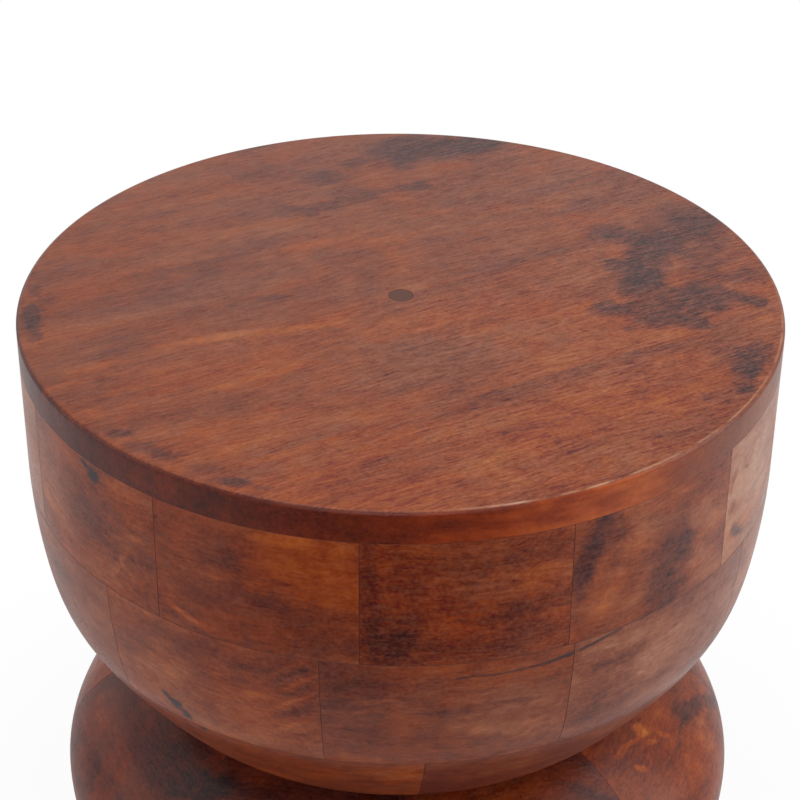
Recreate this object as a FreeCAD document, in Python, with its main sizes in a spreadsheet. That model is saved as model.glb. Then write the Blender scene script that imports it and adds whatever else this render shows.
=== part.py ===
import FreeCAD, Part
import math
import os

# A drum table turned from glued wood: a bowl on a rounded lobe, closed by a board top and a board base.
# Lengths are millimetres, Z runs up from the floor, and the origin is the middle of the foot.
# Angles are degrees round the table: 0 is the front, at -Y, and they grow towards +X.

doc = FreeCAD.newDocument("drum_table")
sheet = doc.addObject("Spreadsheet::Sheet", "sizes")

SIZES = (
    ("body_radius", 230.4, "outside of the bowl's upright wall"),
    ("neck_radius", 150, "bottom of the crease between bowl and lobe"),
    ("lobe_radius", 222, "widest circle of the lobe"),
    ("foot_radius", 170, "outside of the foot"),
    ("lobe_level", 105, "height of the lobe's widest circle"),
    ("wall_depth", 91, "upright part of the bowl, from the top down"),
    ("course_height", 81, "height of a course of blocks"),
    ("top_thickness", 20, "top boards"),
    ("base_thickness", 20, "base boards"),
    ("top_arris", 3, "rounding of the top's edge"),
    ("foot_ease", 3, "chamfer under the foot"),
    ("rim_wall", 40, "radial thickness of the rim blocks"),
    ("middle_wall", 58, "radial thickness of the middle blocks, at their top"),
    ("neck_wall", 40, "radial thickness of the wood at the crease"),
    ("foot_wall", 42, "radial thickness of the wood at the foot"),
    ("top_board_width", 120.7, "the two middle boards of the top"),
    ("base_board_width", 114, "the middle board of the base"),
    ("top_grain_angle", 28.6, "direction of the top boards, from +X towards +Y"),
    ("base_grain_angle", 118.6, "direction of the base boards, from +X towards +Y"),
    ("plug_radius", 7.4, "plug in the lathe's centre hole"),
    ("plug_length", 14, "depth of the plug"),
    ("plug_clearance", 0.1, "glue line round and under the plug"),
    ("overrun", 10, "how far rough stock stands past the turned form"),
)

# Each course from the rim down: its blocks' name, the distance from the axis to their flat inner
# face, the glue joints that the front shows, and how many equal blocks close the ring behind them.
COURSES = (
    ("rim_block", "sizes.body_radius - sizes.rim_wall", (-65.2, -35.3, -5.2, 24.0, 53.7), 8),
    ("middle_block", "sizes.body_radius - sizes.middle_wall", (-46.0, -10.8, 25.0), 8),
    ("lower_block", "sizes.neck_radius - sizes.neck_wall", (-34.5, 4.2), 8),
    ("shoulder_block", "sizes.neck_radius - sizes.neck_wall", (-43.0, 2.0, 47.0), 6),
    ("foot_block", "sizes.foot_radius - sizes.foot_wall", (-65.0, -20.0, 25.0), 6),
)
BOWL_COURSES = 3

# The turned outline between its named circles. A bowl share pair is how far down from the end of
# the upright wall to the crease, and how far out from the crease to the wall. A shoulder pair is
# how far up from the widest circle to the crease, and how far out from the crease to that circle.
# A foot pair is how far down from the widest circle to the foot, and how far out from the foot.
BOWL_SHARES = (
    (0.209, 0.979),
    (0.343, 0.943),
    (0.415, 0.915),
    (0.500, 0.863),
    (0.575, 0.786),
    (0.698, 0.612),
    (0.831, 0.400),
    (0.924, 0.210),
)
SHOULDER_SHARES = (
    (0.150, 0.981),
    (0.300, 0.924),
    (0.450, 0.826),
    (0.600, 0.682),
    (0.750, 0.486),
    (0.880, 0.264),
)
FOOT_SHARES = (
    (0.120, 0.985),
    (0.250, 0.925),
    (0.450, 0.760),
    (0.700, 0.470),
    (0.860, 0.240),
)

# Rough stock reaches past the widest part of the turned form.
REACH = "(max(sizes.body_radius; sizes.lobe_radius) + sizes.overrun)"


def fill_sheet():
    rows = list(SIZES)
    for name, inner, joints, rear in COURSES:
        for place, angle in enumerate(joints, start=1):
            rows.append((f"{name}_joint_{place}", angle, "angle of a glue joint"))
        rows.append((f"{name}_rear_count", rear, "blocks behind those joints"))
    for row, (name, value, note) in enumerate(rows, start=1):
        sheet.set(f"A{row}", name)
        sheet.set(f"B{row}", str(value))
        sheet.set(f"C{row}", note)
        sheet.setAlias(f"B{row}", name)


def size(name):
    return float(sheet.get(name))


def level(courses_below):
    """The height of the top of so many courses above the base boards, as an expression."""
    return f"(sizes.base_thickness + {courses_below} * sizes.course_height)"


def point(radius, height):
    return FreeCAD.Vector(radius, 0, height)


def curve(start, shares, end, leaves):
    """A smooth curve from a circle to the next, through the share pairs between them."""
    points = [start]
    for along, out in shares:
        height = start.z + along * (end.z - start.z)
        points.append(point(end.x + out * (start.x - end.x), height))
    points.append(end)
    spline = Part.BSplineCurve()
    spline.interpolate(Points=points, InitialTangent=leaves, FinalTangent=points[-1] - points[-2])
    return spline.toShape()


def turned_form():
    """What the lathe leaves: one outline, turned through a full circle."""
    waist = size("base_thickness") + (len(COURSES) - BOWL_COURSES) * size("course_height")
    height = waist + BOWL_COURSES * size("course_height") + size("top_thickness")
    arris = size("top_arris")
    ease = size("foot_ease")
    down = FreeCAD.Vector(0, 0, -1)
    up = FreeCAD.Vector(0, 0, 1)

    wall_end = point(size("body_radius"), height - size("wall_depth"))
    crease = point(size("neck_radius"), waist)
    widest = point(size("lobe_radius"), size("lobe_level"))
    foot = point(size("foot_radius"), ease)
    under = point(foot.x - ease, 0)
    arris_low = point(wall_end.x, height - arris)
    arris_top = point(wall_end.x - arris, height)
    halfway = math.radians(45)
    arris_middle = point(arris_top.x + arris * math.sin(halfway), arris_low.z + arris * math.cos(halfway))
    edges = [
        Part.makeLine(point(0, 0), under),
        Part.makeLine(under, foot),
        curve(widest, FOOT_SHARES, foot, down),
        curve(widest, SHOULDER_SHARES, crease, up),
        curve(wall_end, BOWL_SHARES, crease, down),
        Part.makeLine(wall_end, arris_low),
        Part.Arc(arris_low, arris_middle, arris_top).toShape(),
        Part.makeLine(arris_top, point(0, height)),
        Part.makeLine(point(0, height), point(0, 0)),
    ]
    outline = doc.addObject("Part::Feature", "turned_outline")
    outline.Shape = Part.Wire(Part.__sortEdges__(edges))
    outline.Placement = FreeCAD.Placement()

    form = doc.addObject("Part::Revolution", "turned_form")
    form.Source = outline
    form.Axis = up
    form.Base = point(0, 0)
    form.Angle = 360
    form.Solid = True
    return form


def stock(name, near, far, near_half, far_half, low, high, angle):
    """Sawn stock: how far its near and far side lie from the axis, how far each side reaches to
    the left and right, its two heights, and its turn about the axis."""
    item = doc.addObject("Part::Wedge", f"{name}_stock")
    item.setExpression("Ymin", near)
    item.setExpression("Ymax", far)
    item.setExpression("Xmin", f"-({near_half})")
    item.setExpression("Xmax", near_half)
    item.setExpression("X2min", f"-({far_half})")
    item.setExpression("X2max", far_half)
    for bottom in ("Zmin", "Z2min"):
        item.setExpression(bottom, low)
    for top in ("Zmax", "Z2max"):
        item.setExpression(top, high)
    item.Placement = FreeCAD.Placement(FreeCAD.Vector(), FreeCAD.Rotation(FreeCAD.Vector(0, 0, 1), 0))
    item.setExpression(".Placement.Rotation.Angle", angle)
    return item


def turned(name, blank, form):
    """The part of a blank that stays once the whole table has been turned."""
    piece = doc.addObject("Part::Common", name)
    piece.Base = blank
    piece.Tool = form
    piece.Label = name
    return piece


def joint_angles(name, joints, rear):
    """The angles of a course's joints as expressions, the last one a full turn past the first."""
    seen = [f"sizes.{name}_joint_{place}" for place in range(1, len(joints) + 1)]
    step = f"(360 - {seen[-1]} + {seen[0]}) / sizes.{name}_rear_count"
    return seen + [f"({seen[-1]} + {count} * {step})" for count in range(1, rear + 1)]


def course(name, inner, joints, rear, courses_below, form):
    """A ring of blocks, mitred on planes through the table's axis and flat inside."""
    angles = joint_angles(name, joints, rear)
    blocks = []
    for count, (start, end) in enumerate(zip(angles, angles[1:]), start=1):
        title = f"{name}_{count:02d}"
        half = f"tan(({end} - {start}) / 2)"
        middle = f"({end} + {start}) / 2 + 180"
        blank = stock(
            title,
            inner,
            REACH,
            f"({inner}) * {half}",
            f"{REACH} * {half}",
            level(courses_below),
            level(courses_below + 1),
            middle,
        )
        blocks.append(turned(title, blank, form))
    return blocks


def boards(name, joints, low, high, angle, form):
    """Boards edge to edge across the whole table, with joints at these distances from the axis."""
    edges = [f"-{REACH}", *joints, REACH]
    made = []
    for count, (near, far) in enumerate(zip(edges, edges[1:]), start=1):
        title = f"{name}_{count}"
        blank = stock(title, near, far, REACH, REACH, low, high, angle)
        made.append(turned(title, blank, form))
    return made


def hanging_cylinder(name, radius, length):
    """A cylinder in the middle of the table that ends level with the top."""
    item = doc.addObject("Part::Cylinder", name)
    item.setExpression("Radius", radius)
    item.setExpression("Height", length)
    item.setExpression(".Placement.Base.z", f"{level(len(COURSES))} + sizes.top_thickness - ({length})")
    return item


def bored(plain, hole):
    """A top board with its half of the lathe's centre hole, under the board's own name."""
    name = plain.Label
    plain.Label = f"{name}_plain"
    piece = doc.addObject("Part::Cut", f"{name}_bored")
    piece.Base = plain
    piece.Tool = hole
    piece.Label = name
    return piece


fill_sheet()
doc.recompute()
form = turned_form()

base_joints = ("-sizes.base_board_width / 2", "sizes.base_board_width / 2")
pieces = boards("base_board", base_joints, "0", level(0), "sizes.base_grain_angle", form)

for place, (name, inner, joints, rear) in enumerate(COURSES, start=1):
    pieces += course(name, inner, joints, rear, len(COURSES) - place, form)

# Four boards across the top. The middle joint runs through the centre hole, which a plug closes.
top_joints = ("-sizes.top_board_width", "0", "sizes.top_board_width")
top_low = level(len(COURSES))
top_high = f"{top_low} + sizes.top_thickness"
front, front_middle, back_middle, back = boards(
    "top_board", top_joints, top_low, top_high, "sizes.top_grain_angle", form
)
hole = hanging_cylinder(
    "centre_hole",
    "sizes.plug_radius + sizes.plug_clearance",
    "sizes.plug_length + sizes.plug_clearance",
)
plug = hanging_cylinder("top_plug", "sizes.plug_radius", "sizes.plug_length")
plug.Label = "top_plug"
pieces += [front, bored(front_middle, hole), bored(back_middle, hole), back, plug]
doc.recompute()

for item in doc.Objects:
    if "Invalid" in item.State or "Error" in item.State:
        raise RuntimeError(f"{item.Name} did not rebuild")
for piece in pieces:
    shape = piece.Shape
    if shape.isNull() or not shape.isValid() or len(shape.Solids) != 1:
        raise RuntimeError(f"{piece.Label} is not one valid solid")
os.makedirs("parts", exist_ok=True)
for piece in pieces:
    piece.Shape.exportStep(f"parts/{piece.Label}.step")
print(len(pieces), "pieces")
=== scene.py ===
import math

import bmesh
import bpy
from mathutils import Matrix, Vector
from mathutils.geometry import interpolate_bezier


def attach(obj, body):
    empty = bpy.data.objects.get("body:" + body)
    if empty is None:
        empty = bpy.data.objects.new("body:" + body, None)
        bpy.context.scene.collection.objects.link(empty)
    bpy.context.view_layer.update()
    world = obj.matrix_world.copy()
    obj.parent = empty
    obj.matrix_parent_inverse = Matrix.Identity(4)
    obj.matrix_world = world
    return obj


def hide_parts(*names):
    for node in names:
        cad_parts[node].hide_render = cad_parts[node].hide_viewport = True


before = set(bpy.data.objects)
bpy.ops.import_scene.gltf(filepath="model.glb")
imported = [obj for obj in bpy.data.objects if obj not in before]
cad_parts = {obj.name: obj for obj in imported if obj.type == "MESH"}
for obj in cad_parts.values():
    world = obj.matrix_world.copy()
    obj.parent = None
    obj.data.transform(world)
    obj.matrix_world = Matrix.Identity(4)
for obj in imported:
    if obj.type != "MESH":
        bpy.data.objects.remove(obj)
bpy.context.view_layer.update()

# The base: three boards of stained hardwood, glued edge to edge and turned with everything above them.
# They close the table underneath. Sizes are written in millimetres and made metres where they are used.
MM = 0.001
BASE_TOP = 20
BASE_OUTLINE = (
    (167, 0),
    ((170, 3),),
    ((178.06, 12.23), (179.97, 13.98), (184.63, BASE_TOP)),
)
BASE_GRAIN = 118.6
BASE_JOINTS = (-57, 57)
BASE_EASING = 0.2
BASE_STEPS = 240
BASE_FIRST = 0
BASE_CASTS = ((0.05, 0.1, 0.3), (0.0, -0.1, 0.3), (0.08, 0.0, 0.3))


def turned_outline(start, *stretches, curve_points=22):
    """Points up a turned outline, from stretches that are an end alone or two Bezier handles and an end."""
    points = [Vector(start) * MM]
    for *handles, end in stretches:
        if handles:
            near, far = (Vector(handle) * MM for handle in handles)
            points += interpolate_bezier(points[-1], near, far, Vector(end) * MM, curve_points)[1:]
        else:
            points.append(Vector(end) * MM)
    return points


def turn_full(section, steps):
    """A closed solid of revolution from a section that starts and ends on the axis."""
    solid = bmesh.new()
    line = [solid.verts.new((0, -point.x, point.y)) for point in section]
    edges = [solid.edges.new(pair) for pair in zip(line, line[1:])]
    bmesh.ops.spin(
        solid, geom=line + edges, cent=(0, 0, 0), axis=(0, 0, 1), angle=math.tau, steps=steps, use_merge=True
    )
    bmesh.ops.remove_doubles(solid, verts=solid.verts[:], dist=1e-6)
    bmesh.ops.recalc_face_normals(solid, faces=solid.faces[:])
    return solid


def saw(solid, point, away):
    """Cuts off what lies past a plane and closes the sawn face."""
    bmesh.ops.bisect_plane(
        solid,
        geom=solid.verts[:] + solid.edges[:] + solid.faces[:],
        dist=1e-7,
        plane_co=point,
        plane_no=away,
        clear_outer=True,
    )
    open_edges = [edge for edge in solid.edges if edge.is_boundary]
    bmesh.ops.holes_fill(solid, edges=open_edges, sides=0)
    bmesh.ops.recalc_face_normals(solid, faces=solid.faces[:])


def is_corner(edge):
    """True where two faces meet at an angle, and not where they follow each other round a curve."""
    return edge.calc_face_angle() > 0.3


def ease(solid, edges, width):
    """Takes the corner off glued edges, which shows the glue line: material 1."""
    bmesh.ops.bevel(
        solid,
        geom=edges,
        offset=width,
        offset_type="OFFSET",
        segments=1,
        profile=0.5,
        affect="EDGES",
        material=1,
    )


def stretch(number):
    """Where a stick's own part of the grain pattern starts, in metres."""
    return 0.3 * number


def finish_piece(name, solid, turn, number, cast, wood):
    """Makes the mesh a piece that stands for its node. The grain attribute runs along the stick, through
    it and up; the cast attribute holds the stick's shade, warmth and strength of figure, which on some
    blocks also carry painted shade or painted reflection."""
    mesh = bpy.data.meshes.new(name)
    bmesh.ops.recalc_face_normals(solid, faces=solid.faces[:])
    solid.to_mesh(mesh)
    solid.free()
    for polygon in mesh.polygons:
        polygon.use_smooth = True
    mesh.set_sharp_from_angle(angle=math.radians(20))
    along = Matrix.Rotation(-turn, 3, "Z")
    grain = mesh.attributes.new("grain", "FLOAT_VECTOR", "POINT")
    tint = mesh.attributes.new("cast", "FLOAT_VECTOR", "POINT")
    for vertex in mesh.vertices:
        grain.data[vertex.index].vector = along @ vertex.co + Vector((stretch(number), 0, 0))
        tint.data[vertex.index].vector = cast
    piece = bpy.data.objects.new(name + "_wood", mesh)
    bpy.context.scene.collection.objects.link(piece)
    mesh.materials.append(wood)
    mesh.materials.append(glue_line)
    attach(piece, "root")
    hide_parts(name)
    return piece


class Wire:
    """An output of a finish's nodes. Arithmetic on wires and numbers adds the Math nodes."""

    def __init__(self, finish, socket):
        self.finish = finish
        self.socket = socket

    def math(self, operation, *others):
        return self.finish.node("Math", {"operation": operation}, dict(enumerate((self, *others))))

    def __add__(self, other):
        return self.math("ADD", other)

    def __sub__(self, other):
        return self.math("SUBTRACT", other)

    def __rsub__(self, other):
        return self.finish.node("Math", {"operation": "SUBTRACT"}, {0: other, 1: self})

    def __mul__(self, other):
        return self.math("MULTIPLY", other)

    __radd__ = __add__
    __rmul__ = __mul__

    def rise(self, low, high):
        """0 at low and 1 at high, smooth between them."""
        settings = {"interpolation_type": "SMOOTHSTEP"}
        return self.finish.node("MapRange", settings, {"Value": self, "From Min": low, "From Max": high})

    def parts(self):
        """The three numbers of a vector."""
        split = self.finish.node("SeparateXYZ", inputs={"Vector": self})
        return [Wire(self.finish, output) for output in split.socket.node.outputs]


class Finish:
    """The nodes of one material, or of the world."""

    def __init__(self, owner, shader="Principled BSDF"):
        owner.use_nodes = True
        self.owner = owner
        self.tree = owner.node_tree
        self.shader = self.tree.nodes[shader]

    def feed(self, socket, value):
        if isinstance(value, Wire):
            self.tree.links.new(value.socket, socket)
        else:
            socket.default_value = value

    def coat(self, colour, roughness, sheen):
        """The surface's colour and roughness, and how much it reflects."""
        self.feed(self.shader.inputs["Base Color"], colour)
        self.feed(self.shader.inputs["Roughness"], roughness)
        self.shader.inputs["Specular IOR Level"].default_value = sheen

    def node(self, kind, settings=None, inputs=None, output=0):
        """Adds a node: its settings first, a ramp's stops among them, and then its inputs."""
        made = self.tree.nodes.new("ShaderNode" + kind)
        for key, value in (settings or {}).items():
            if key == "stops":
                for stop in value[1:-1]:
                    made.color_ramp.elements.new(stop[0])
                for element, (place, colour) in zip(made.color_ramp.elements, value):
                    element.position = place
                    element.color = (*colour, 1)
            else:
                setattr(made, key, value)
        for key, value in (inputs or {}).items():
            self.feed(made.inputs[key], value)
        return Wire(self, made.outputs[output])

    def vector(self, operation, *values, output=0):
        return self.node("VectorMath", {"operation": operation}, dict(enumerate(values)), output)

    def noise(self, place, scale, detail=2.0, rough=0.5, warp=0.0, output=0):
        """Noise at so many lumps a metre along, through and up the wood."""
        spread = self.vector("MULTIPLY", place, scale)
        inputs = {"Vector": spread, "Scale": 1.0, "Detail": detail, "Roughness": rough, "Distortion": warp}
        return self.node("TexNoise", {"noise_dimensions": "3D"}, inputs, output)

    def drift(self, place, scale, **character):
        """Three noises about zero, as a vector."""
        return self.vector("SUBTRACT", self.noise(place, scale, output=1, **character), (0.5, 0.5, 0.5))

    def blend(self, share, first, second):
        return self.node("Mix", {"data_type": "RGBA"}, {0: share, 6: first, 7: second}, 2)

    def spot(self, place, at, size, turn):
        """1 in the middle of an ellipse on the surface, falling to 0 at one and a half times its size."""
        lean = Matrix.Rotation(math.radians(turn), 3, "Z")
        along = lean @ Vector((1, 0, 0)) / (size[0] * MM)
        across = lean @ Vector((0, 1, 0)) / (size[1] * MM)
        middle = Vector((*at, 0)) * MM
        u = self.vector("DOT_PRODUCT", place, along, output=1)
        v = self.vector("DOT_PRODUCT", place, across, output=1)
        local = self.node("CombineXYZ", inputs={"X": u, "Y": v})
        away = self.vector("DISTANCE", local, (along.dot(middle), across.dot(middle), 0), output=1)
        return away.rise(1.5, 0.4)


# The glue in the joints, which shows as a thin dark line under the lacquer.
GLUE_DARK = (0.065, 0.018, 0.011, 1)
GLUE_LIGHT = (0.125, 0.036, 0.020, 1)
GLUE_SHEEN = 0.25
glue_line = bpy.data.materials.new("glue_line")
glue = Finish(glue_line)
glue_place = glue.node("TexCoord", output=3)
glue_cloud = glue.noise(glue_place, (60, 60, 60), detail=3)
glue.coat(glue.blend(glue_cloud.rise(0.3, 0.7), GLUE_DARK, GLUE_LIGHT), glue_cloud * 0.3 + 0.3, GLUE_SHEEN)

# The stain's colours on wood from the darkest to the palest, and what tints, lines and blackens them.
STAIN_STOPS = (
    (0.00, (0.028, 0.007, 0.005)),
    (0.25, (0.096, 0.018, 0.009)),
    (0.45, (0.178, 0.034, 0.012)),
    (0.60, (0.265, 0.056, 0.016)),
    (0.80, (0.395, 0.112, 0.036)),
    (1.00, (0.540, 0.220, 0.095)),
)
COOL_TINT = (0.89, 1.00, 1.58, 1)
WARM_TINT = (1.15, 0.89, 0.45, 1)
LINE_COLOUR = (0.58, 0.25, 0.17)
DARKEST = (0.012, 0.004, 0.003)
KNOT_COLOUR = (0.028, 0.024, 0.028, 1)
# What a mark of each kind does at full strength: it darkens, lightens and warms, and blackens like a knot.
MARK_KINDS = {
    "smoke": (0.9, 0.0, -0.23, 0.0),
    "dark": (0.5, 0.0, 0.0, 0.0),
    "dull": (0.1, 0.0, -0.40, 0.0),
    "tan": (0.0, 0.45, 0.12, 0.0),
    "pale": (0.0, 0.40, -0.15, 0.0),
    "orange": (0.0, 0.22, 0.50, 0.0),
    "knot": (1.0, 0.0, -0.50, 0.85),
    "crack": (0.8, 0.0, -0.30, 0.75),
}
WIDEST_SWAY = 24


def lay_marks(wood, place, wander, marks, total):
    """Adds up how far the marks darken, lighten and warm each point, and finds how far it is a knot.
    The wander noise moves the outline of each mark, by less where the mark is small."""
    knots = None
    for kind, x, y, wide, tall, turn, amount in marks:
        dark, light, warm, knot = (value * amount for value in MARK_KINDS[kind])
        sway = min(WIDEST_SWAY, 3 * min(wide, tall)) * MM
        shaken = wood.vector("MULTIPLY_ADD", wander, (sway, sway, 0.0), place)
        inside = wood.spot(shaken, (x, y), (wide, tall), turn)
        mark = wood.node("VectorMath", {"operation": "SCALE"}, {0: (dark, light, warm), "Scale": inside})
        total = wood.vector("ADD", total or (0, 0, 0), mark)
        if knot:
            knots = knots.math("MAXIMUM", inside * knot) if knots else inside * knot
    return total, knots


def stained_wood(
    name,
    surface,
    marks,
    cloud=0.6,
    mottle=0.34,
    bands=0.35,
    fibre=0.19,
    ripple=0.42,
    speck=0.22,
    pore=0.4,
    wave=0.025,
    roughness=0.3,
    sheen=0.25,
    stain=(1.04, 1.0, 0.92),
    edge=None,
):
    """Hardwood under red-brown stain and lacquer. surface gives the place that the marks are laid out on,
    and a mark is (kind, x, y, half width, half height, turn, amount). The values from cloud to pore are
    the strengths of the figure, wave is how far the grain wanders, in metres, and stain tints all of it.
    edge gives what it adds to the marks, and how much of the figure shows."""
    wood = Finish(bpy.data.materials.new(name))
    straight = wood.node("Attribute", {"attribute_name": "grain"}, output=1)
    swerve = wood.drift(straight, (7, 14, 14), detail=1)
    grain = wood.vector("MULTIPLY_ADD", swerve, (0.0, wave, wave), straight)
    cast = wood.node("Attribute", {"attribute_name": "cast"}, output=1)
    cast_shade, cast_warmth, cast_figure = cast.parts()
    clouds = wood.noise(grain, (11, 26, 26), detail=3, rough=0.55, warp=0.7, output=1)
    cloud_shade, cloud_warmth, cloud_roughness = clouds.parts()
    band_noise = wood.noise(grain, (4.5, 75, 75), detail=3, rough=0.6, warp=0.4)
    fibre_noise = wood.noise(grain, (70, 560, 560), detail=3, rough=0.6)
    ripple_noise = wood.noise(grain, (62, 230, 230), detail=3, rough=0.6, warp=1.2)
    speck_noise = wood.noise(grain, (420, 520, 520), detail=1, rough=0.5)
    pores = wood.noise(grain, (110, 950, 950), detail=1).rise(0.58, 0.70)

    place = surface(wood)
    wander = wood.drift(grain, (75, 75, 75), detail=3, rough=0.65)
    total, calm = edge(wood) if edge else (None, 1.0)
    total, knots = lay_marks(wood, place, wander, marks, total)

    shade = cast_shade + (cloud_shade - 0.5) * cloud + (band_noise - 0.5) * bands + 0.5
    strength = cast_figure * calm
    wander_shade, wander_warmth = wander.parts()[:2]
    shade = shade + (ripple_noise - 0.5) * strength * ripple + wander_shade * mottle
    warmth = cast_warmth + (cloud_warmth - 0.5) * 1.5 + wander_warmth * 0.9 + 0.5
    lines = ((fibre_noise - 0.5) * fibre + (speck_noise - 0.5) * speck - pores * (0.13 * pore)) * strength
    if total:
        dark, light, warm = wood.vector("MINIMUM", total, (1.0, 1.0, 1.0)).parts()
        blotch = wood.noise(grain, (170, 240, 240), detail=2, rough=0.6) + 0.5
        shade = shade - dark * blotch * 0.31 + light * blotch * 0.30
        warmth = warmth + warm
    colour = wood.node("ValToRGB", {"stops": STAIN_STOPS}, {"Fac": shade})
    tint = wood.blend(warmth.rise(0.0, 1.0), COOL_TINT, WARM_TINT)
    colour = wood.vector("MULTIPLY", colour, wood.vector("MULTIPLY", tint, stain))
    colour = wood.vector("MULTIPLY_ADD", lines, LINE_COLOUR, colour)
    colour = wood.vector("MAXIMUM", colour, DARKEST)
    if knots:
        colour = wood.blend(knots, colour, KNOT_COLOUR)
    wood.colour = colour
    wood.coat(colour, (cloud_roughness - 0.5) * 0.2 + pores * 0.1 + roughness, sheen)
    height = fibre_noise * 0.25 - pores * pore + speck_noise * 0.12
    bump = wood.node("Bump", inputs={"Strength": 0.3, "Distance": 0.00010, "Height": height})
    wood.feed(wood.shader.inputs["Normal"], bump)
    return wood


def flat_place(wood):
    """The place on a face that is flat or nearly so, seen from above."""
    return wood.node("TexCoord", output=3)


def sawn_boards(name, first, disc, grain, joints, casts, wood, easing):
    """Boards edge to edge, sawn from one turned disc at these distances across the grain. first is the
    number before the first board's own, which says where its part of the grain pattern starts."""
    turn = math.radians(grain)
    across = Vector((-math.sin(turn), math.cos(turn), 0))

    def is_sawn(face):
        """True on a whole joint face, which the small faces of the turned edge are not."""
        return abs(face.normal.dot(across)) > 0.999 and face.calc_area() > 1e-3

    edges = [None, *joints, None]
    for number, (near, far, cast) in enumerate(zip(edges, edges[1:], casts), start=1):
        board = disc.copy()
        if near is not None:
            saw(board, across * near * MM, -across)
        if far is not None:
            saw(board, across * far * MM, across)
        corners = [edge for edge in board.edges if any(map(is_sawn, edge.link_faces)) and is_corner(edge)]
        ease(board, corners, easing * MM)
        finish_piece(f"{name}_{number}", board, turn, first + number, cast, wood.owner)
    disc.free()


base_section = [Vector((0, 0)), *turned_outline(*BASE_OUTLINE), Vector((0, BASE_TOP * MM))]
base_disc = turn_full(base_section, BASE_STEPS)
base_wood = stained_wood(
    "base_boards_finish",
    flat_place,
    (),
    bands=0.45,
    fibre=0.35,
    ripple=0.15,
    roughness=0.42,
)
sawn_boards(
    "base_board",
    BASE_FIRST,
    base_disc,
    BASE_GRAIN,
    BASE_JOINTS,
    BASE_CASTS,
    base_wood,
    BASE_EASING,
)


# The foot course: eight mitred blocks glued in a ring on the base, the lower half of the rounded lobe.
# The photograph ends above it. The ring tools below serve all five courses of blocks.
FOOT_OUTLINE = (
    BASE_OUTLINE[-1][-1],
    ((190.51, 27.6), (201.17, 42.35), (209.97, 60)),
    ((219.89, 79.9), (221.59, 91.7), (221.93, 101)),
)
FOOT_INNER = 128
INSIDE_MARGIN = 4
FOOT_FIRST = 10
FOOT_CASTS = (
    (0.00, 0.05, 0.8), (-0.05, -0.1, 1.0), (0.03, 0.1, 0.9), (-0.02, 0.0, 1.1),
    (-0.06, -0.05, 0.8), (0.05, 0.12, 1.0), (0.00, -0.08, 0.9), (-0.04, 0.08, 1.1),
)


def ring_joints(seen, rear):
    """The angles of a ring's glue joints: those that are seen, and equal blocks behind them."""
    step = (360 + seen[0] - seen[-1]) / rear
    return [*seen, *(seen[-1] + step * count for count in range(1, rear + 1))]


def front(angle):
    """The way outwards at an angle from the front, in degrees towards the right."""
    return Matrix.Rotation(math.radians(angle), 3, "Z") @ Vector((0, -1, 0))


def ring_blocks(name, first, outline, inner, joints, casts, wood, easing=0.2, waste=6, step=1.5):
    """Blocks of one course: the outline turned from joint to joint, then sawn flat inside, where waste
    comes off. Each step of the turning is so many degrees, and easing takes off the glued corners."""
    points = turned_outline(*outline)
    core = (inner - waste) * MM
    section = [Vector((core, points[0].y)), *points, Vector((core, points[-1].y))]
    for number, (start, end, cast) in enumerate(zip(joints, joints[1:], casts), start=1):
        block = bmesh.new()
        face = block.faces.new([block.verts.new(front(start) * p.x + Vector((0, 0, p.y))) for p in section])
        bmesh.ops.spin(
            block,
            geom=[face, *face.edges, *face.verts],
            cent=(0, 0, 0),
            axis=(0, 0, 1),
            angle=math.radians(end - start),
            steps=math.ceil((end - start) / step),
        )
        bmesh.ops.recalc_face_normals(block, faces=block.faces[:])
        middle = (start + end) / 2
        saw(block, front(middle) * inner * MM, -front(middle))
        # The corners of the flat inner face aren't glued, so only those past its ends are eased.
        inside = (inner / math.cos(math.radians(end - start) / 2) + INSIDE_MARGIN) * MM
        corners = [
            edge
            for edge in block.edges
            if all(vertex.co.xy.length > inside for vertex in edge.verts) and is_corner(edge)
        ]
        ease(block, corners, easing * MM)
        turn = math.radians(middle)
        finish_piece(f"{name}_{number:02d}", block, turn, first + number, cast, wood.owner)


def block_marks(first, joints, radius, marks):
    """Marks given as (kind, block, angle, height, ...) laid out along each block's own length, with the
    angles taken on a circle of this radius."""
    laid = []
    for kind, block, angle, *rest in marks:
        middle = (joints[block - 1] + joints[block]) / 2
        along = radius * math.sin(math.radians(angle - middle)) + stretch(first + block) / MM
        laid.append((kind, along, *rest))
    return laid


def block_place(wood):
    """The place on a block's outside: along the block, and up."""
    grain = wood.node("Attribute", {"attribute_name": "grain"}, output=1)
    along, _, up = grain.parts()
    return wood.node("CombineXYZ", inputs={"X": along, "Y": up})


foot_joints = ring_joints((-65, -20, 25), rear=6)
foot_wood = stained_wood("foot_blocks_finish", block_place, ())
ring_blocks("foot_block", FOOT_FIRST, FOOT_OUTLINE, FOOT_INNER, foot_joints, FOOT_CASTS, foot_wood)


# The shoulder course: eight blocks of stained hardwood, glued on the foot course. They are the upper half
# of the lobe, up to the crease under the bowl. Its right side has orange and tan flecks in the photograph,
# with faint cracks between them, and its darker left side has long streaks. Close under the bowl at the
# front and left it is darkened further with painted shade.
SHOULDER_OUTLINE = (
    FOOT_OUTLINE[-1][-1],
    ((221.98, 102.23), (222, 103.53), (222, 105)),
    ((222, 116.34), (217.98, 128.46), (209.21, 140)),
    ((204.04, 146.79), (195.55, 155.79), (181.69, 165)),
    ((168.35, 173.87), (164.25, 175.07), (150, 182)),
)
SHOULDER_INNER = 110
SHOULDER_FIRST = 20
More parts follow.
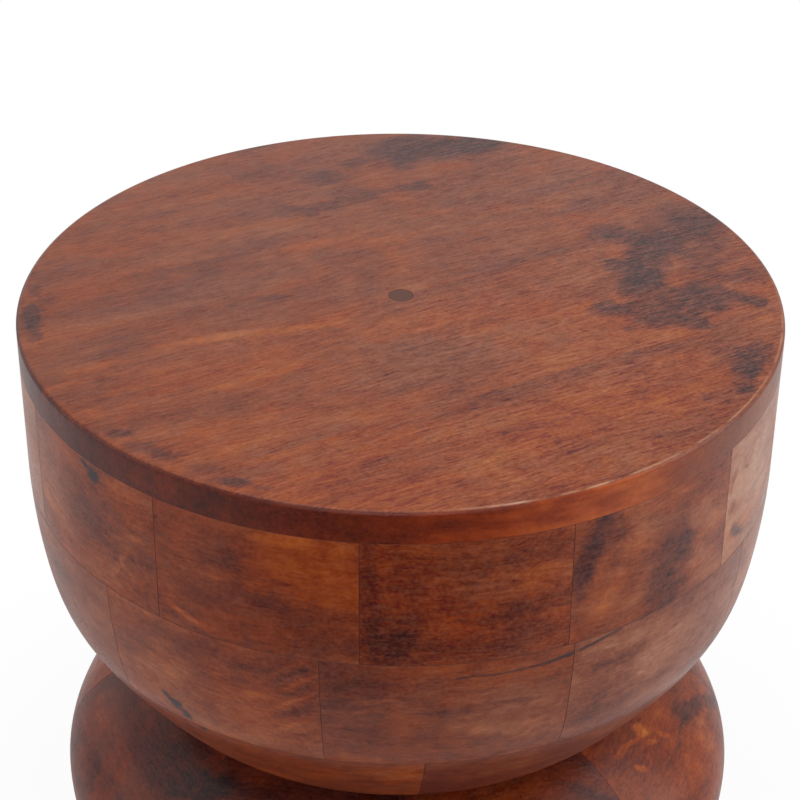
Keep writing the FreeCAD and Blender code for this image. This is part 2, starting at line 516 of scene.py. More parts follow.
# Blocks 1 and 8, front and left, are dark partly as stain and partly as painted shade under the bowl.
SHOULDER_CASTS = (
    (-0.27, -0.10, 0.6), (-0.14, 0.05, 0.8), (-0.02, 0.20, 0.95), (-0.05, 0.0, 1.0),
    (0.04, 0.1, 0.8), (-0.05, -0.1, 1.1), (0.02, 0.05, 0.9), (-0.14, -0.15, 0.6),
)
shoulder_joints = ring_joints((-43, 2, 47), rear=6)
shoulder_wood = stained_wood(
    "shoulder_blocks_finish",
    flat_place,
    (
        ("orange", 145, -87, 39, 2.92, 41, 0.8),
        ("smoke", 190, -37, 16.8, 5.02, 48, 0.8),
        ("smoke", 205, -16, 37.8, 4.27, 61, 1),
        ("crack", 186, -52, 13.7, 0.791, 72, 0.6),
        ("crack", 181, -72, 9.57, 0.958, 73, 0.35),
        ("crack", 172, -94, 11.7, 0.464, 68, 0.3),
        ("tan", 156, -76, 5.96, 4.25, 27, 2.4),
        ("tan", 149, -88, 13.3, 1.79, 49, 2.4),
        ("tan", 142, -97, 7.97, 2.12, 49, 2.2),
        ("tan", 163, -81, 5.32, 1.46, 41, 1.6),
        ("tan", 172, -71, 4.47, 2.68, 27, 1.4),
        ("tan", 171, -56, 10.3, 5.5, 29, 0.7),
        ("tan", 154, -104, 4.47, 2.24, 27, 2.8),
        ("orange", 193, -74, 22.1, 14.6, 42, 0.9),
        ("orange", 164, -97, 22, 14.7, 32, 0.3),
        ("dark", 158, -93, 26.8, 16.8, 27, 0.45),
        ("orange", 130, -121, 12.8, 8.74, 21, 0.9),
        ("dark", 140, -99, 24.2, 13.1, 21, 0.4),
        ("pale", 205, -48, 9.91, 20, 48, 1.1),
        ("dark", 107, -133, 16.5, 5.66, 14, 0.6),
        ("dark", -171, -78, 4.03, 20.7, -30, 0.4),
        ("dark", -197, -82, 7.07, 12.4, -45, 0.5),
        ("dull", -185, -62, 9.01, 28.5, -34, 0.7),
        ("dull", -163, -97, 7.86, 25.4, -32, 0.6),
        ("orange", -175, -93, 3.61, 15.3, -34, 0.4),
        # Painted shade: these three dark marks lie close under the bowl at the front left.
        ("dark", -137, -113, 24.2, 21.2, -21, 1.8),
        ("dark", -119, -131, 20, 7.75, -8, 1.5),
        ("dark", -158, -82, 19.4, 19, -27, 0.8),
    ),
    sheen=0.20,
)
ring_blocks(
    "shoulder_block",
    SHOULDER_FIRST,
    SHOULDER_OUTLINE,
    SHOULDER_INNER,
    shoulder_joints,
    SHOULDER_CASTS,
    shoulder_wood,
)


# The third course of the bowl: nine blocks of stained hardwood, glued on the shoulder course. They make
# the bowl's underside, from the crease outwards. An orange-brown block meets a darker maroon one just
# right of the middle, whose grey, cool cast is partly painted reflection.
LOWER_OUTLINE = (
    SHOULDER_OUTLINE[-1][-1],
    ((158.5, 188.58), (164.43, 192.3), (172.17, 200)),
    ((182.69, 210.47), (191.54, 223.13), (199.95, 235)),
    ((206.11, 243.69), (212.68, 253.01), (217.28, 263)),
)
LOWER_INNER = 110
LOWER_FIRST = 30
LOWER_MARK_RADIUS = 205
# Block 2 is cool and grey partly as painted reflection of the floor.
LOWER_CASTS = (
    (0.07, 0.15, 0.9), (-0.02, -0.75, 0.9), (0.10, -0.30, 0.8), (-0.04, 0.0, 0.8), (0.05, 0.1, 1.0),
    (-0.03, -0.1, 0.9), (0.00, 0.1, 0.8), (0.04, 0.0, 1.0), (0.00, 0.05, 0.8),
)
lower_joints = ring_joints((-34.5, 4.2), rear=8)
lower_wood = stained_wood(
    "lower_blocks_finish",
    block_place,
    block_marks(
        LOWER_FIRST,
        lower_joints,
        LOWER_MARK_RADIUS,
        (
            ("knot", 1, -32.38, 262.4, 4.13, 2.28, -71, 0.7),
            ("tan", 1, -0.24, 246.5, 19.2, 12.4, 2, 0.8),
            ("dark", 2, 12.52, 231.2, 25, 19, -11, 0.6),
            # Painted reflection, in part: this pale mark lies where the underside mirrors the floor.
            ("pale", 2, 17.69, 232.9, 30.5, 15, -12, 0.8),
        ),
    ),
)
ring_blocks("lower_block", LOWER_FIRST, LOWER_OUTLINE, LOWER_INNER, lower_joints, LOWER_CASTS, lower_wood)


# The second course: ten blocks of stained hardwood, glued on the third, where the wall turns under. The
# left front block ends in curly figure and has a dark knot low down; a fine black crack crosses the joint
# at the right.
MIDDLE_OUTLINE = (
    LOWER_OUTLINE[-1][-1],
    ((221.17, 271.44), (223.8, 280.68), (226.57, 300)),
    ((228.76, 315.31), (229.91, 329.95), (230.27, 344)),
)
MIDDLE_INNER = 172.4
MIDDLE_FIRST = 40
MIDDLE_MARK_RADIUS = 225
# Blocks 3 and 4 at the right and block 10 at the far left are pale and cool partly as painted reflection.
MIDDLE_CASTS = (
    (0.08, 0.00, 1.0), (0.04, 0.00, 0.9), (0.13, -0.65, 1.0), (0.20, -0.35, 0.8), (-0.05, -0.1, 0.9),
    (0.03, 0.05, 1.1), (-0.02, 0.1, 0.9), (0.06, 0.0, 1.0), (-0.04, -0.05, 1.0), (0.10, -0.32, 0.7),
)
middle_joints = ring_joints((-46, -10.8, 25), rear=8)
middle_wood = stained_wood(
    "middle_blocks_finish",
    block_place,
    block_marks(
        MIDDLE_FIRST,
        middle_joints,
        MIDDLE_MARK_RADIUS,
        (
            ("smoke", 4, 61.53, 328.8, 24.1, 8.64, -34, 0.3),
            ("crack", 2, 9.24, 333.8, 7.51, 0.758, 6, 0.5),
            ("crack", 2, 13.0, 333.7, 8.74, 0.7, 0, 0.5),
            ("crack", 2, 16.99, 334.1, 8.82, 0.761, 4, 0.5),
            ("crack", 2, 20.06, 334.5, 7.79, 0.922, 6, 0.5),
            ("crack", 2, 22.6, 335.2, 6.74, 1.14, 8, 0.7),
            ("crack", 2, 24.72, 336.8, 5.59, 1.48, 10, 1),
            ("crack", 3, 26.73, 338.3, 6.76, 1.33, 11, 0.8),
            ("crack", 3, 29.11, 340.6, 6.92, 1.23, 11, 0.75),
            ("crack", 3, 31.4, 342.7, 5.86, 1.01, 9, 0.6),
            ("smoke", 1, -42.73, 313.3, 17.9, 9.25, 30, 0.4),
            ("smoke", 1, -38.17, 309.4, 15.6, 12.2, 29, 0.3),
            ("knot", 1, -36.5, 282.3, 3.45, 2.43, -44, 0.9),
            ("knot", 1, -35.06, 277.6, 4.68, 4.15, -49, 1),
            ("knot", 1, -33.32, 270.5, 4.84, 3.31, -54, 0.9),
            ("smoke", 1, -20.72, 328.4, 12, 5.93, 8, 0.5),
            ("smoke", 1, -22.75, 317.5, 8.72, 3.03, 11, 0.4),
            ("tan", 1, -13.34, 339.6, 16.6, 1.37, 34, 0.8),
            ("tan", 1, -13.16, 326.6, 17, 1.41, 36, 0.9),
            ("tan", 1, -13.89, 312.3, 17.9, 1.43, 37, 0.9),
            ("tan", 1, -15.42, 289.8, 19.2, 2.09, 38, 0.7),
            ("dark", 1, -13.27, 316.0, 12.8, 34.5, 12, 0.35),
            ("smoke", 1, -13.67, 332.8, 16.8, 1.9, 35, 0.4),
            ("smoke", 1, -13.51, 319.6, 17.2, 1.67, 35, 0.4),
            ("smoke", 1, -14.3, 303.3, 18.8, 2.74, 31, 0.4),
            ("smoke", 1, -14.05, 283.5, 14.9, 1.95, 27, 0.4),
            ("tan", 1, -21.08, 309.0, 7.87, 2.99, 19, 0.7),
            ("tan", 1, -34.47, 306.9, 30.9, 19.4, 7, 0.5),
            ("tan", 1, -23.99, 269.4, 27.1, 8.37, 9, 0.5),
            ("dark", 1, -27.64, 334.1, 19.9, 4.84, -3, 0.4),
            ("dull", 2, -6.58, 301.6, 19.1, 24.3, 7, 0.5),
            ("dark", 2, -5.12, 314.0, 23, 33.9, 5, 0.5),
            ("dark", 2, -4.4, 328.6, 23.7, 8.77, 4, 0.4),
            ("tan", 2, -3.46, 316.9, 12, 1.54, 10, 0.7),
            ("tan", 2, -3.75, 309.0, 10, 1.24, 10, 0.6),
            # Painted reflection, in part: this pale mark lies where the wall turns under and mirrors the
            # floor.
            ("pale", 2, 17.45, 307.1, 32, 24.5, -15, 1),
            ("tan", 2, 14.78, 292.7, 31.3, 6.02, -2, 0.7),
            ("smoke", 2, 17.38, 310.3, 19.7, 1.92, -4, 0.4),
            ("smoke", 2, 7.37, 308.2, 24.2, 2.4, 0, 0.4),
            ("smoke", 2, 11.43, 323.0, 22, 2.3, -1, 0.3),
            ("smoke", 3, 29.41, 298.3, 15.7, 28.3, -24, 0.6),
            ("smoke", 3, 33.77, 271.7, 16.2, 15.6, -7, 0.3),
            ("smoke", 3, 33.15, 318.3, 19.9, 5.97, -4, 0.6),
            ("smoke", 3, 36.01, 324.3, 9.25, 4.45, 0, 0.4),
            ("orange", 3, 29.3, 332.3, 9.6, 3.27, 3, 0.6),
            ("tan", 3, 29.81, 315.0, 6.12, 2.64, 2, 0.6),
            ("tan", 3, 37.69, 300.1, 7, 1.18, -20, 1),
            # Painted reflection, in part: this pale mark lies where the right side mirrors the cool right
            # lamp.
            ("pale", 3, 41.18, 309.9, 42.6, 19, -29, 1.1),
        ),
    ),
)
ring_blocks(
    "middle_block",
    MIDDLE_FIRST,
    MIDDLE_OUTLINE,
    MIDDLE_INNER,
    middle_joints,
    MIDDLE_CASTS,
    middle_wood,
)


# The rim course: twelve blocks of stained hardwood, about 30 degrees each, glued on the second course under
# the top. Each took the stain in its own way: one half orange, one mottled like bird's eye, one with
# slanting dark stripes, and knots at both sides.
RIM_OUTLINE = (
    MIDDLE_OUTLINE[-1][-1],
    ((230.36, 347.32), (230.4, 350.64), (230.4, 354)),
    ((230.4, 425),),
)
RIM_INNER = 190.4
RIM_FIRST = 50
RIM_MARK_RADIUS = 230
# Blocks 5 and 12, at the far right and far left, are pale and cool partly as painted reflection.
RIM_CASTS = (
    (0.05, 0.02, 1.0), (0.02, 0.16, 0.9), (-0.03, 0.20, 1.25), (0.08, 0.00, 1.0), (0.30, -0.30, 0.9),
    (0.02, 0.1, 1.0), (-0.06, -0.1, 0.9), (0.04, 0.2, 1.5), (-0.02, 0.0, 0.9), (0.05, 0.1, 1.0),
    (-0.05, -0.1, 1.1), (0.26, -0.40, 0.7),
)
rim_joints = ring_joints((-65.2, -35.3, -5.2, 24.0, 53.7), rear=8)
rim_wood = stained_wood(
    "rim_blocks_finish",
    block_place,
    block_marks(
        RIM_FIRST,
        rim_joints,
        RIM_MARK_RADIUS,
        (
            ("knot", 1, -47.35, 417.6, 4.33, 4.79, -21, 1),
            ("knot", 1, -49.16, 421.3, 3.85, 2.2, -18, 0.9),
            ("smoke", 1, -49.86, 381.3, 24.9, 16.9, 28, 0.3),
            ("smoke", 1, -45.69, 376.4, 17.3, 12.2, 27, 0.35),
            # Painted reflection, in part: these three pale marks lie on the far left of the bowl.
            ("pale", 1, -61.28, 389.7, 25.7, 26.3, 31, 1),
            ("pale", 1, -57.02, 419.9, 13.1, 17.7, 29, 0.5),
            ("pale", 1, -58.15, 362.3, 25.5, 15.8, 31, 0.5),
            ("tan", 1, -40.52, 418.8, 18.1, 6.97, 0, 0.9),
            ("tan", 1, -43.76, 419.3, 7.58, 3.83, 4, 0.7),
            ("tan", 1, -39.14, 390.6, 7.74, 2, 3, 1.2),
            ("tan", 1, -42.63, 367.6, 13.8, 2.18, 60, 1.1),
            ("tan", 1, -41.03, 365.2, 5.73, 2.55, -30, 1),
            ("dark", 1, -37.85, 378.1, 10.2, 5.16, 7, 0.5),
            ("orange", 1, -39.63, 405.1, 15.9, 9.7, 24, 0.5),
            ("smoke", 2, -24.77, 403.6, 17.7, 12.5, 2, 0.4),
            ("smoke", 2, -23.76, 399.6, 8.2, 5.51, 1, 0.25),
            ("dark", 2, -27.82, 380.9, 14.9, 4.91, 4, 0.4),
            ("orange", 2, -11.4, 407.0, 32.3, 23.7, -1, 1.3),
            ("tan", 2, -18.22, 419.9, 9.84, 3.35, -4, 0.9),
            ("tan", 2, -12.98, 419.6, 12.9, 5.22, -2, 0.6),
            ("pale", 2, -6.97, 420.9, 6.37, 8.94, 5, 0.4),
            ("dark", 2, -18.21, 379.1, 14, 5.74, -21, 0.9),
            ("dark", 2, -15.17, 391.8, 9.77, 2.04, -7, 0.6),
            ("tan", 2, -32.45, 356.0, 7.78, 2.11, -37, 1.2),
            ("tan", 2, -30.46, 352.4, 7.96, 2.54, -19, 1.1),
            ("tan", 2, -27.38, 350.1, 14.7, 2.99, 1, 0.9),
            ("tan", 2, -32.99, 366.1, 4.52, 1.72, -56, 0.7),
            ("orange", 2, -22.21, 354.3, 26.1, 9.9, 3, 0.9),
            ("dark", 2, -9.12, 352.2, 19.8, 5.51, 3, 0.8),
            ("dark", 2, -33.46, 392.4, 5.39, 20.9, 22, 0.3),
            ("dark", 3, -3.96, 394.5, 5.33, 42.1, 4, 0.9),
            ("dark", 3, 0.28, 387.1, 20.2, 30.3, 0, 1),
            ("smoke", 3, -0.34, 358.3, 19.4, 9.45, 1, 0.4),
            ("orange", 3, 0.23, 414.7, 20.9, 18, 1, 0.5),
            ("orange", 3, 1.6, 388.5, 16, 3.96, 3, 0.5),
            ("tan", 3, 14.22, 404.8, 31.9, 15.9, -3, 0.7),
            ("dull", 3, 12.22, 398.2, 22.9, 17.3, -1, 0.6),
            ("dark", 3, 15.88, 373.1, 24.4, 4.16, 1, 0.9),
            ("dark", 3, 9.78, 355.3, 35.1, 8.28, -2, 0.5),
            ("pale", 3, 23.17, 382.1, 7.6, 20.7, -16, 0.6),
            ("orange", 3, 22.61, 354.2, 11.5, 13.3, -16, 0.5),
            ("smoke", 4, 26.13, 398.5, 6.6, 32.8, -18, 0.95),
            ("smoke", 4, 28.85, 414.8, 13.2, 15.6, 22, 0.75),
            ("tan", 4, 33.64, 404.6, 8.83, 22.2, 56, 0.7),
            ("tan", 4, 29.61, 368.3, 6.43, 20.6, -20, 0.8),
            ("smoke", 4, 40.21, 355.9, 20.2, 11.4, -25, 0.85),
            ("smoke", 4, 41.34, 374.4, 17, 15, -25, 0.6),
            ("smoke", 4, 44.35, 401.3, 19.5, 16.4, -1, 0.3),
            ("smoke", 4, 42.69, 385.5, 13.6, 11, -26, 0.35),
            # Painted reflection, in part: these two pale marks lie on the right of the bowl.
            ("pale", 4, 51.39, 346.4, 31.6, 18.4, -30, 1),
            ("pale", 4, 47.07, 385.0, 20.1, 20.8, -27, 0.7),
            ("tan", 4, 35.87, 363.8, 5.76, 14, -23, 0.4),
            ("knot", 5, 57.89, 360.3, 8.96, 3.02, -31, 0.6),
            ("dark", 5, 55.33, 380.9, 3.08, 4.82, -29, 1.4),
            ("dark", 5, 55.04, 400.8, 2.27, 7.16, -29, 1.2),
            # Painted reflection, in part: this pale mark lies on the far right of the bowl.
            ("pale", 5, 61.03, 407.8, 41.4, 35.3, -30, 1.1),
            ("smoke", 5, 59.22, 401.0, 3.72, 1.23, -30, 0.7),
            ("dark", 4, 35.94, 344.2, 15.6, 1.23, 3, 0.8),
        ),
    ),
)
ring_blocks("rim_block", RIM_FIRST, RIM_OUTLINE, RIM_INNER, rim_joints, RIM_CASTS, rim_wood)


# The top: four boards glued edge to edge over the rim, turned with it and sanded flat, with a small hole
# left by the lathe's centre. Smoky stains run into the wood at the right and back; the edge is worn, and its
# arris carries a painted highlight.
TOP_UNDERSIDE = 425
TOP_LEVEL = 445
TOP_OUTLINE = (
    RIM_OUTLINE[-1][-1],
    ((230.4, 442),),
    ((230.4, 443.66), (229.06, TOP_LEVEL), (227.4, TOP_LEVEL)),
)
TOP_GRAIN = 28.6
TOP_JOINTS = (-120.7, 0, 120.7)
TOP_EASING = 0.06
TOP_STEPS = 360
TOP_FIRST = 70
TOP_CASTS = ((0.08, 0.18, 1.1), (0.07, 0.06, 1.0), (0.05, -0.06, 0.8), (0.03, -0.06, 0.8))
HOLE_RADIUS = 7.5
HOLE_FLOOR = 430.9
BARE_WOOD_AND_HIGHLIGHT = (0.50, 0.27, 0.16, 1)
WHITE = (1, 1, 1, 1)
RUDDY = (1.12, 0.78, 0.78, 1)


def edge_tone(wood):
    """The top's edge took the stain darkest at the front and left, red past the middle, lightest right, and
    is darkened just under the arris as painted shade. The grain shows most on the right of the top and least
    on the edge."""
    place = flat_place(wood)
    x, _, z = place.parts()
    side = z.rise(444.9 * MM, 443.9 * MM)
    right = x.rise(0, 150 * MM)
    red = x.rise(-45 * MM, 25 * MM) - x.rise(110 * MM, 180 * MM)
    stained = wood.noise(place, (30, 30, 90), detail=3).rise(0.35, 0.65)
    # Painted shade: a dark line just under the arris, fainter towards the right.
    line = z.rise(441 * MM, 443.5 * MM) * (1.0 - right * 0.6)
    dark = side * (1.08 + stained * 0.25 + line * 0.4 - right * 0.96 - red * 0.40)
    light = side * (right * 0.1 + (red * 0.8 + right * 0.3) * stained)
    calm = (1.0 - side * 0.72) * (x.rise(-120 * MM, 120 * MM) * 0.4 + 0.75)
    warm = side * (red * 0.45 + 0.05)
    return wood.node("CombineXYZ", inputs={"X": dark, "Y": light, "Z": warm}), calm


top_wood = stained_wood(
    "top_boards_finish",
    flat_place,
    (
        ("smoke", 133, 40, 8.12, 8.12, 0, 0.95),
        ("smoke", 151, 44, 12.2, 33.1, 0, 1.1),
        ("smoke", 146, 15, 12.2, 21.1, 0, 1.1),
        ("smoke", 129, 84, 11.4, 9.75, 0, 0.73),
        ("smoke", 144, 78, 13.7, 9.75, 0, 0.63),
        ("smoke", 180, 85, 24.4, 27.6, 0, 0.79),
        ("smoke", 168, 67, 12.2, 14.6, 0, 0.84),
        ("smoke", 188, 107, 17.9, 23.4, 20, 0.53),
        ("smoke", 126, -13, 11.4, 9.1, 0, 1.1),
        ("smoke", 151, -20, 13.7, 14.6, 0, 1.3),
        ("smoke", 172, -23, 10.4, 6.5, 0, 0.84),
        ("smoke", 187, 37, 13, 21.1, 0, 0.47),
        ("smoke", 164, -4, 9.75, 14.6, 0, 0.73),
        ("smoke", 176, -30, 11.7, 7.31, 0, 1.1),
        ("smoke", 177, 5, 9.75, 14.6, 0, 0.73),
        ("smoke", 195, 4, 9.75, 14.6, 0, 0.84),
        ("smoke", 185, -11, 12.2, 8.12, 0, 0.68),
        ("smoke", 214, -3, 7.8, 7.15, 0, 0.95),
        ("smoke", 213, 26, 16.2, 8.12, 0, 0.47),
        ("smoke", 136, -38, 4.88, 3.25, 0, 0.84),
        ("smoke", 203, -74, 7.8, 19.5, -20, 0.95),
        ("smoke", 194, -105, 6.5, 6.5, -20, 0.95),
        ("smoke", 190, -65, 11.4, 6.5, 0, 0.42),
        ("smoke", 180, -115, 10.4, 6.5, 10, 0.37),
        ("pale", 168, 40, 11.2, 11.2, 0, 0.5),
        ("orange", 180, 32, 10, 7.5, 0, 0.5),
        ("orange", 134, 57, 8.75, 6, 0, 0.5),
        ("smoke", 22, 206, 41, 18.2, 0, 0.84),
        ("smoke", 47, 213, 15.6, 11.7, 0, 0.63),
        ("smoke", -1, 171, 8.78, 15.6, 0, 0.21),
        ("smoke", 11, 145, 13.7, 7.8, 0, 0.63),
        ("smoke", -10, 193, 16.2, 11.7, 0, 0.53),
        ("smoke", 2, 183, 8.12, 9.75, 0, 0.63),
        ("smoke", -32, 181, 9.75, 7.8, 0, 0.53),
        ("smoke", -51, 158, 13, 9.75, 0, 0.47),
        ("smoke", -59, 108, 5.69, 5.85, 0, 0.84),
        ("smoke", -47, 117, 11.4, 7.8, 10, 0.53),
        ("smoke", -30, 133, 16.2, 11.7, 8, 0.53),
        ("smoke", -72, 111, 11.4, 7.8, 8, 0.37),
        ("smoke", 7, 212, 19.5, 11.4, 0, 0.53),
        ("pale", -4, 198, 8.75, 6, 0, 0.4),
        ("smoke", -221, 2, 3.25, 6.5, 0, 0.53),
        ("smoke", -219, -24, 5.69, 7.31, 0, 1.1),
        ("smoke", -217, -38, 4.88, 6.5, 0, 0.95),
        ("smoke", -212, -51, 5.69, 6.5, 0, 0.73),
        ("smoke", -212, -10, 4.88, 6.5, 0, 0.42),
        ("smoke", -152, -156, 7.31, 5.2, 0, 0.73),
        ("smoke", -126, -177, 9.1, 6.5, -12, 0.84),
        ("smoke", -140, -170, 7.8, 5.2, -10, 0.53),
        ("smoke", -85, -203, 6.5, 2.93, -10, 0.84),
        ("smoke", -103, -190, 11.7, 5.2, -10, 0.42),
        ("smoke", -72, -208, 5.2, 3.25, 0, 0.53),
        ("dark", 85, -160, 2.5, 3, 0, 0.8),
        ("tan", -143, -87, 35, 6.25, 16, 0.5),
        ("orange", -102, -92, 56.2, 15, 14, 0.5),
        ("tan", -85, -47, 55, 5, 14, 1),
        ("orange", -194, 54, 25, 9, 8, 0.6),
        ("pale", -96, 80, 56.2, 7.5, 5, 0.5),
        ("tan", 19, 85, 56.2, 8.75, 12, 0.5),
        ("tan", 123, -124, 40, 26, 12, 0.3),
        ("pale", 93, -64, 30, 10, 14, 0.3),
        ("orange", -44, 63, 37.5, 7.5, 8, 0.5),
        ("tan", -177, -85, 18.8, 5, 16, 0.7),
        ("dull", -120, -8, 56.2, 27.5, 10, 0.5),
        ("dull", 17, -65, 43.8, 18, 5, 0.6),
        ("orange", 96, -5, 18.8, 17.5, 5, 0.35),
        ("dull", -43, 5, 37.5, 10, 10, 0.35),
        ("smoke", -79, -4, 13, 3.9, 10, 0.37),
        ("smoke", 175, -2, 14.6, 14.6, 0, 0.53),
        ("smoke", 210, 1, 11.4, 11.4, 0, 0.53),
        ("smoke", -219, -32, 6.5, 16.2, 0, 0.63),
        ("smoke", -87, -203, 9.1, 3.9, -12, 0.73),
        ("smoke", 197, -87, 8.12, 20.8, 0, 0.37),
        ("smoke", -102, 32, 24.4, 6.5, 10, 0.21),
        ("tan", 130, -169, 30, 8, 18, 0.4),
        ("tan", 65, -190, 37.5, 6, 14, 0.3),
        ("dark", 112, -119, 35, 5, 16, 0.35),
        ("dark", 165, -96, 20, 3.75, 16, 0.35),
        ("dark", 55, -151, 30, 3.75, 15, 0.25),
    ),
    cloud=0.40,
    mottle=0.24,
    bands=0.32,
    fibre=0.46,
    ripple=0.20,
    speck=0.26,
    pore=1.0,
    wave=0.009,
    stain=(0.89, 1.00, 0.97),
    edge=edge_tone,
)
# The arris is rubbed bare at the front right and carries a painted highlight there, and the edge below it is
# ruddy except at the right.
top_place = flat_place(top_wood)
x, y, z = top_place.parts()
radius = top_wood.vector("LENGTH", top_wood.node("CombineXYZ", inputs={"X": x, "Y": y}), output=1)
arris = radius.rise(227.7 * MM, 228.2 * MM) * z.rise(444.3 * MM, 444.7 * MM)
worn_and_highlit = x.rise(20 * MM, 60 * MM) * y.rise(20 * MM, -60 * MM) * (0.9 - x.rise(90 * MM, 150 * MM) * 0.45)
rubbed_highlight_breaks = top_wood.noise(top_place, (45, 45, 45), detail=4).rise(0.32, 0.62)
bare_and_highlit = top_wood.blend(arris * worn_and_highlit * rubbed_highlight_breaks, top_wood.colour, BARE_WOOD_AND_HIGHLIGHT)
edge_side = z.rise(444.4 * MM, 443.8 * MM) * (1.0 - x.rise(100 * MM, 210 * MM))
ruddy = top_wood.blend(edge_side, WHITE, RUDDY)
top_wood.feed(top_wood.shader.inputs["Base Color"], top_wood.vector("MULTIPLY", bare_and_highlit, ruddy))

top_section = [
    Vector((0, TOP_UNDERSIDE * MM)),
    *turned_outline(*TOP_OUTLINE),
    Vector((HOLE_RADIUS, TOP_LEVEL)) * MM,
    Vector((HOLE_RADIUS, HOLE_FLOOR)) * MM,
    Vector((0, HOLE_FLOOR * MM)),
]
top_disc = turn_full(top_section, TOP_STEPS)
sawn_boards(
    "top_board",
    TOP_FIRST,
    top_disc,
    TOP_GRAIN,
    TOP_JOINTS,
    TOP_CASTS,
    top_wood,
    TOP_EASING,
)


# The plug in the lathe's centre hole: a short dowel of hardwood, glued in, with its end grain sanded flush
# with the top. End grain takes more stain, so it came out dark brown.
PLUG_RADIUS = 7.4
PLUG_FOOT = 431
PLUG_EASING = 0.2
PLUG_STEPS = 64
PLUG_NUMBER = 81
PLUG_CAST = (0, 0, 0)
PLUG_DARK = (0.042, 0.012, 0.006, 1)
PLUG_LIGHT = (0.135, 0.038, 0.018, 1)
PLUG_SHEEN = 0.25
plug_section = [
    Vector((0, PLUG_FOOT * MM)),
    Vector((PLUG_RADIUS, PLUG_FOOT)) * MM,
    Vector((PLUG_RADIUS, TOP_LEVEL - PLUG_EASING)) * MM,
    Vector((PLUG_RADIUS - PLUG_EASING, TOP_LEVEL)) * MM,
    Vector((0, TOP_LEVEL * MM)),
]
plug_wood = Finish(bpy.data.materials.new("plug_finish"))
plug_place = flat_place(plug_wood)
plug_rings = plug_wood.node(
    "TexWave",
    {"wave_type": "RINGS", "rings_direction": "Z"},
    {"Vector": plug_place, "Scale": 260.0, "Distortion": 3.0, "Detail": 3.0, "Detail Scale": 2.0},
    output=1,
)
plug_grit = plug_wood.noise(plug_place, (900, 900, 900), detail=2)
plug_colour = plug_wood.blend(plug_rings * 0.5 + plug_grit * 0.5, PLUG_DARK, PLUG_LIGHT)
plug_wood.coat(plug_colour, plug_grit * 0.2 + 0.3, PLUG_SHEEN)
plug = turn_full(plug_section, PLUG_STEPS)
finish_piece("top_plug", plug, 0, PLUG_NUMBER, PLUG_CAST, plug_wood.owner)


# The studio, in metres: a white floor that keeps the table's shadow, with a grey painted shadow on it in
# front of the table, a white world behind it, and four soft lamps. One hangs above, one stands in front and
# one at each side, the right one stronger and cooler than the left.
FLOOR_WIDTH = 14
PAPER_PAINTED_SHADOW = (0.16, 0.16, 0.16, 1)
PAPER_WHITE = (0.88, 0.88, 0.88, 1)
SKY_LIGHT = 0.36
COOL_LIGHT = (0.72, 0.93, 1.0)
TABLE_MIDDLE = (0, 0, 0.3)
bpy.ops.mesh.primitive_plane_add(size=FLOOR_WIDTH, location=(0, 0, 0))
floor = bpy.context.object
floor.name = "floor"
paper = Finish(bpy.data.materials.new("floor_paper"))
paper_place = flat_place(paper)
paper_x, paper_y, _ = paper_place.parts()
# Painted shadow: the paper is grey in front of the table, so that less light comes up under the bowl there.
paper_back = paper_y.rise(-0.72, -0.45)
paper_clear = paper_back.math("MAXIMUM", paper_x.math("ABSOLUTE").rise(0.35, 0.8))
paper_tone = paper.noise(paper_place, (3, 3, 3), detail=2) * 0.06
paper.coat(paper.blend(paper_clear - paper_tone, PAPER_PAINTED_SHADOW, PAPER_WHITE), 0.9, 0.0)
# To the camera it glows white, and a little of the shadow shows close to the table.
paper_glow = paper.node("Emission", inputs={"Color": WHITE, "Strength": 1.0})
paper_away = paper.vector("LENGTH", paper_place, output=1).rise(0.24, 0.50)
paper_share = paper.node("LightPath") * (paper_away * 0.06 + 0.94)
paper_mix = paper.node("MixShader", inputs={0: paper_share, 2: paper_glow})
paper.tree.links.new(paper.shader.outputs[0], paper_mix.socket.node.inputs[1])
paper.tree.links.new(paper_mix.socket, paper.tree.nodes["Material Output"].inputs["Surface"])
floor.data.materials.append(paper.owner)

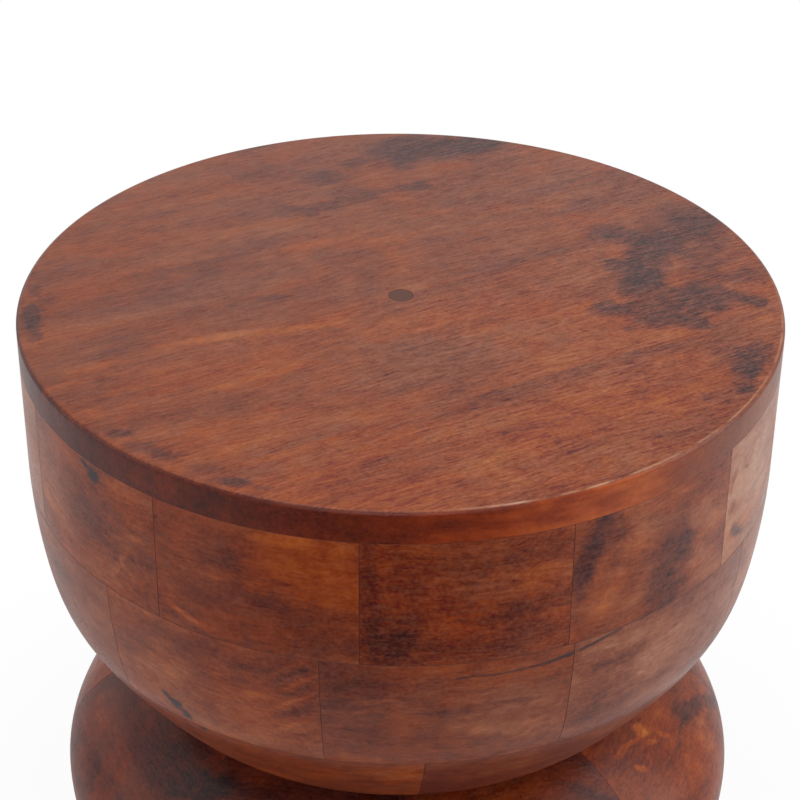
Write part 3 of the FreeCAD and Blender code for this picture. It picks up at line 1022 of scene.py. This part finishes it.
# The world is white where it is seen or mirrored, and lights the table with less.
world = bpy.data.worlds.new("studio_white")
bpy.context.scene.world = world
sky = Finish(world, "Background")
camera_ray, glossy_ray, clear_ray = (
    sky.node("LightPath", output=f"Is {kind} Ray") for kind in ("Camera", "Glossy", "Transmission")
)
seen = camera_ray.math("MAXIMUM", glossy_ray.math("MAXIMUM", clear_ray))
sky.feed(sky.shader.inputs["Color"], WHITE)
sky.feed(sky.shader.inputs["Strength"], seen * (1.0 - SKY_LIGHT) + SKY_LIGHT)


def soft_lamp(name, place, target, width, height, watts, colour=(1, 1, 1)):
    """A soft rectangular lamp that faces its target."""
    lamp = bpy.data.lights.new(name, "AREA")
    lamp.shape = "RECTANGLE"
    lamp.size = width
    lamp.size_y = height
    lamp.energy = watts
    lamp.color = colour
    holder = bpy.data.objects.new(name, lamp)
    bpy.context.scene.collection.objects.link(holder)
    holder.location = place
    holder.rotation_euler = (Vector(target) - Vector(place)).to_track_quat("-Z", "Y").to_euler()


soft_lamp("lamp_above", (0, -0.1, 2.4), TABLE_MIDDLE, width=2.2, height=2.2, watts=25)
soft_lamp("lamp_front", (0, -2.3, 1.9), (0, 0, 0.25), width=1.6, height=1.2, watts=10)
soft_lamp("lamp_left", (-1.7, -0.2, 1.0), TABLE_MIDDLE, width=1.2, height=1.6, watts=4)
soft_lamp("lamp_right", (1.7, -0.2, 1.0), TABLE_MIDDLE, width=1.2, height=1.6, watts=15, colour=COOL_LIGHT)

# The camera stands where the photograph was taken: 1.37 m from the middle of the top, 29 degrees above it.
# Its lens, tilt and roll put the round top and the plug where the photograph has them.
CAMERA_PLACE = (0, -1.19214, 1.11277)
CAMERA_TILT = 58.09
CAMERA_ROLL = 0.45
CAMERA_LENS = 101.62
SENSOR_WIDTH = 36
camera = bpy.data.cameras.new("camera")
camera.sensor_width = SENSOR_WIDTH
camera.lens = CAMERA_LENS
viewpoint = bpy.data.objects.new("camera", camera)
bpy.context.scene.collection.objects.link(viewpoint)
tilt = Matrix.Rotation(math.radians(CAMERA_TILT), 4, "X")
roll = Matrix.Rotation(math.radians(CAMERA_ROLL), 4, "Z")
viewpoint.matrix_world = Matrix.Translation(CAMERA_PLACE) @ tilt @ roll
bpy.context.scene.camera = viewpoint
bpy.context.scene.view_settings.view_transform = "Standard"
